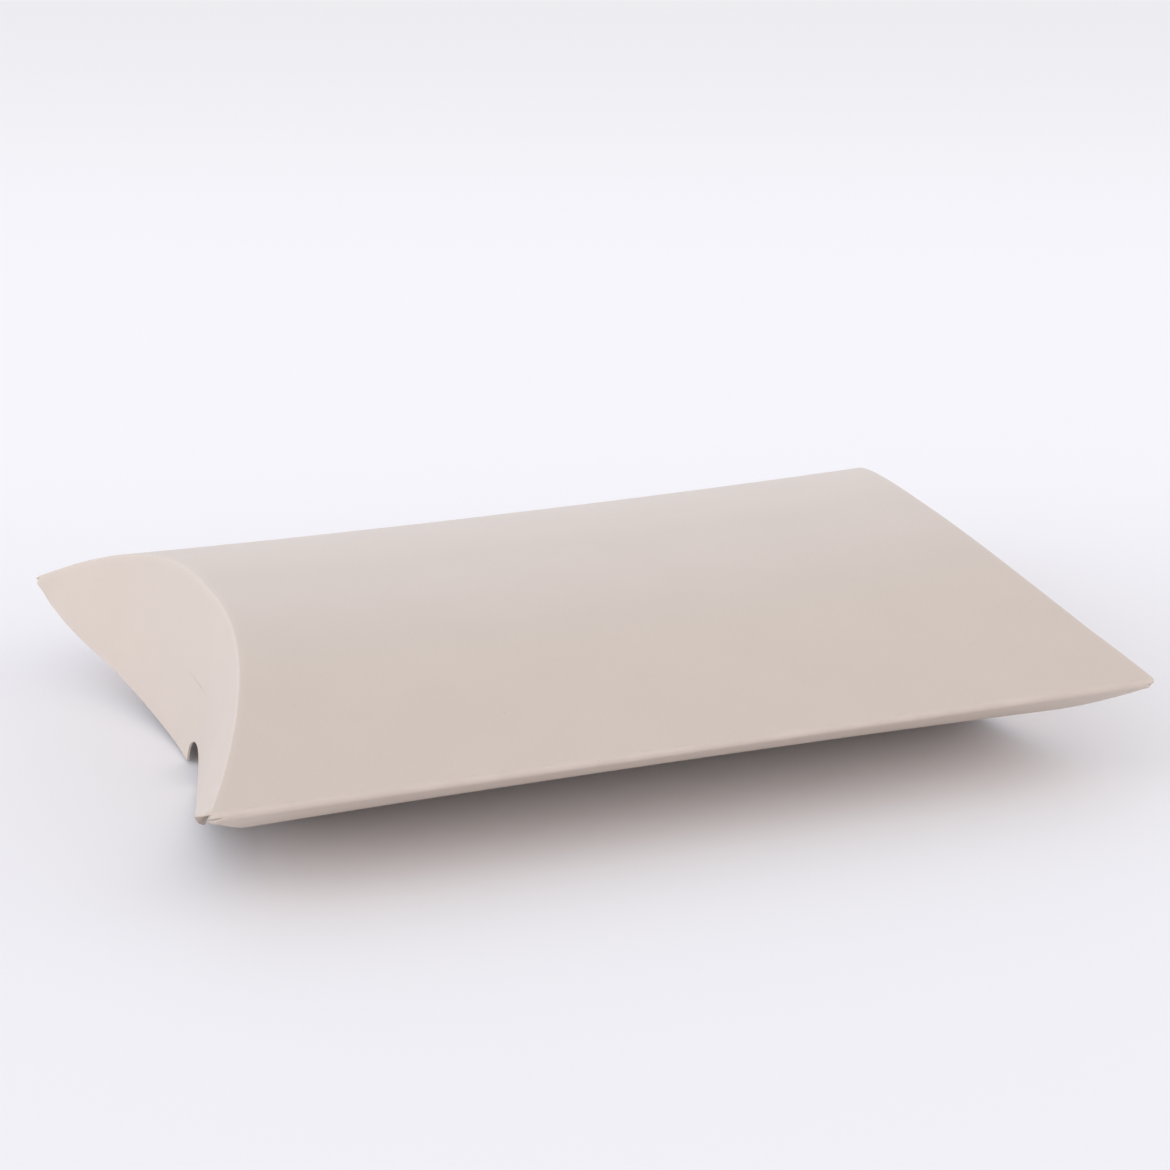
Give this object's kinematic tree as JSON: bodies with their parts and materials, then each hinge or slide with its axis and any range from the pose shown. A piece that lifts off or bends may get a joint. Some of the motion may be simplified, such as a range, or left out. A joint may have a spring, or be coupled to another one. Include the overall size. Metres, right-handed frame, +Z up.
{
  "type": "pillow box",
  "caption": "Card pillow box: two bowed panels joined along the sides into a lens-shaped sleeve, closed at each end by curved inner and outer flaps.",
  "frame": {"origin": "middle of the box on the surface that it rests on, at the lowest line of the bottom panel", "axes": "+X along the box towards its right end, +Y across it towards the far side with the glued seam, +Z up"},
  "size_m": [0.2302, 0.16, 0.046],
  "materials": {
    "card": "matte",
    "glue": "satin"
  },
  "bodies": {
    "sleeve": {"top_panel": "card", "bottom_panel": "card", "glue_tab": "card", "seam_glue": "glue"},
    "left_outer": {"left_outer_flap": "card"},
    "left_inner": {"left_inner_flap": "card"},
    "right_outer": {"right_outer_flap": "card"},
    "right_inner": {"right_inner_flap": "card"}
  },
  "joints": [
    {"name": "left_outer_crease", "type": "hinge", "parent": "sleeve", "child": "left_outer", "pos_m": [-0.0925, 0, 0.046], "axis": [0, 1, 0], "range_deg": [0, 90]},
    {"name": "left_inner_crease", "type": "hinge", "parent": "sleeve", "child": "left_inner", "pos_m": [-0.0888, 0, 0], "axis": [0, -1, 0], "range_deg": [0, 87.7]},
    {"name": "right_outer_crease", "type": "hinge", "parent": "sleeve", "child": "right_outer", "pos_m": [0.0925, 0, 0.046], "axis": [0, -1, 0], "range_deg": [0, 90]},
    {"name": "right_inner_crease", "type": "hinge", "parent": "sleeve", "child": "right_inner", "pos_m": [0.0888, 0, 0], "axis": [0, 1, 0], "range_deg": [0, 87.7]}
  ],
  "couplings": [
    {"joint": "left_inner_crease", "follows": "left_outer_crease", "ratio": 0.974},
    {"joint": "right_inner_crease", "follows": "right_outer_crease", "ratio": 0.974}
  ]
}
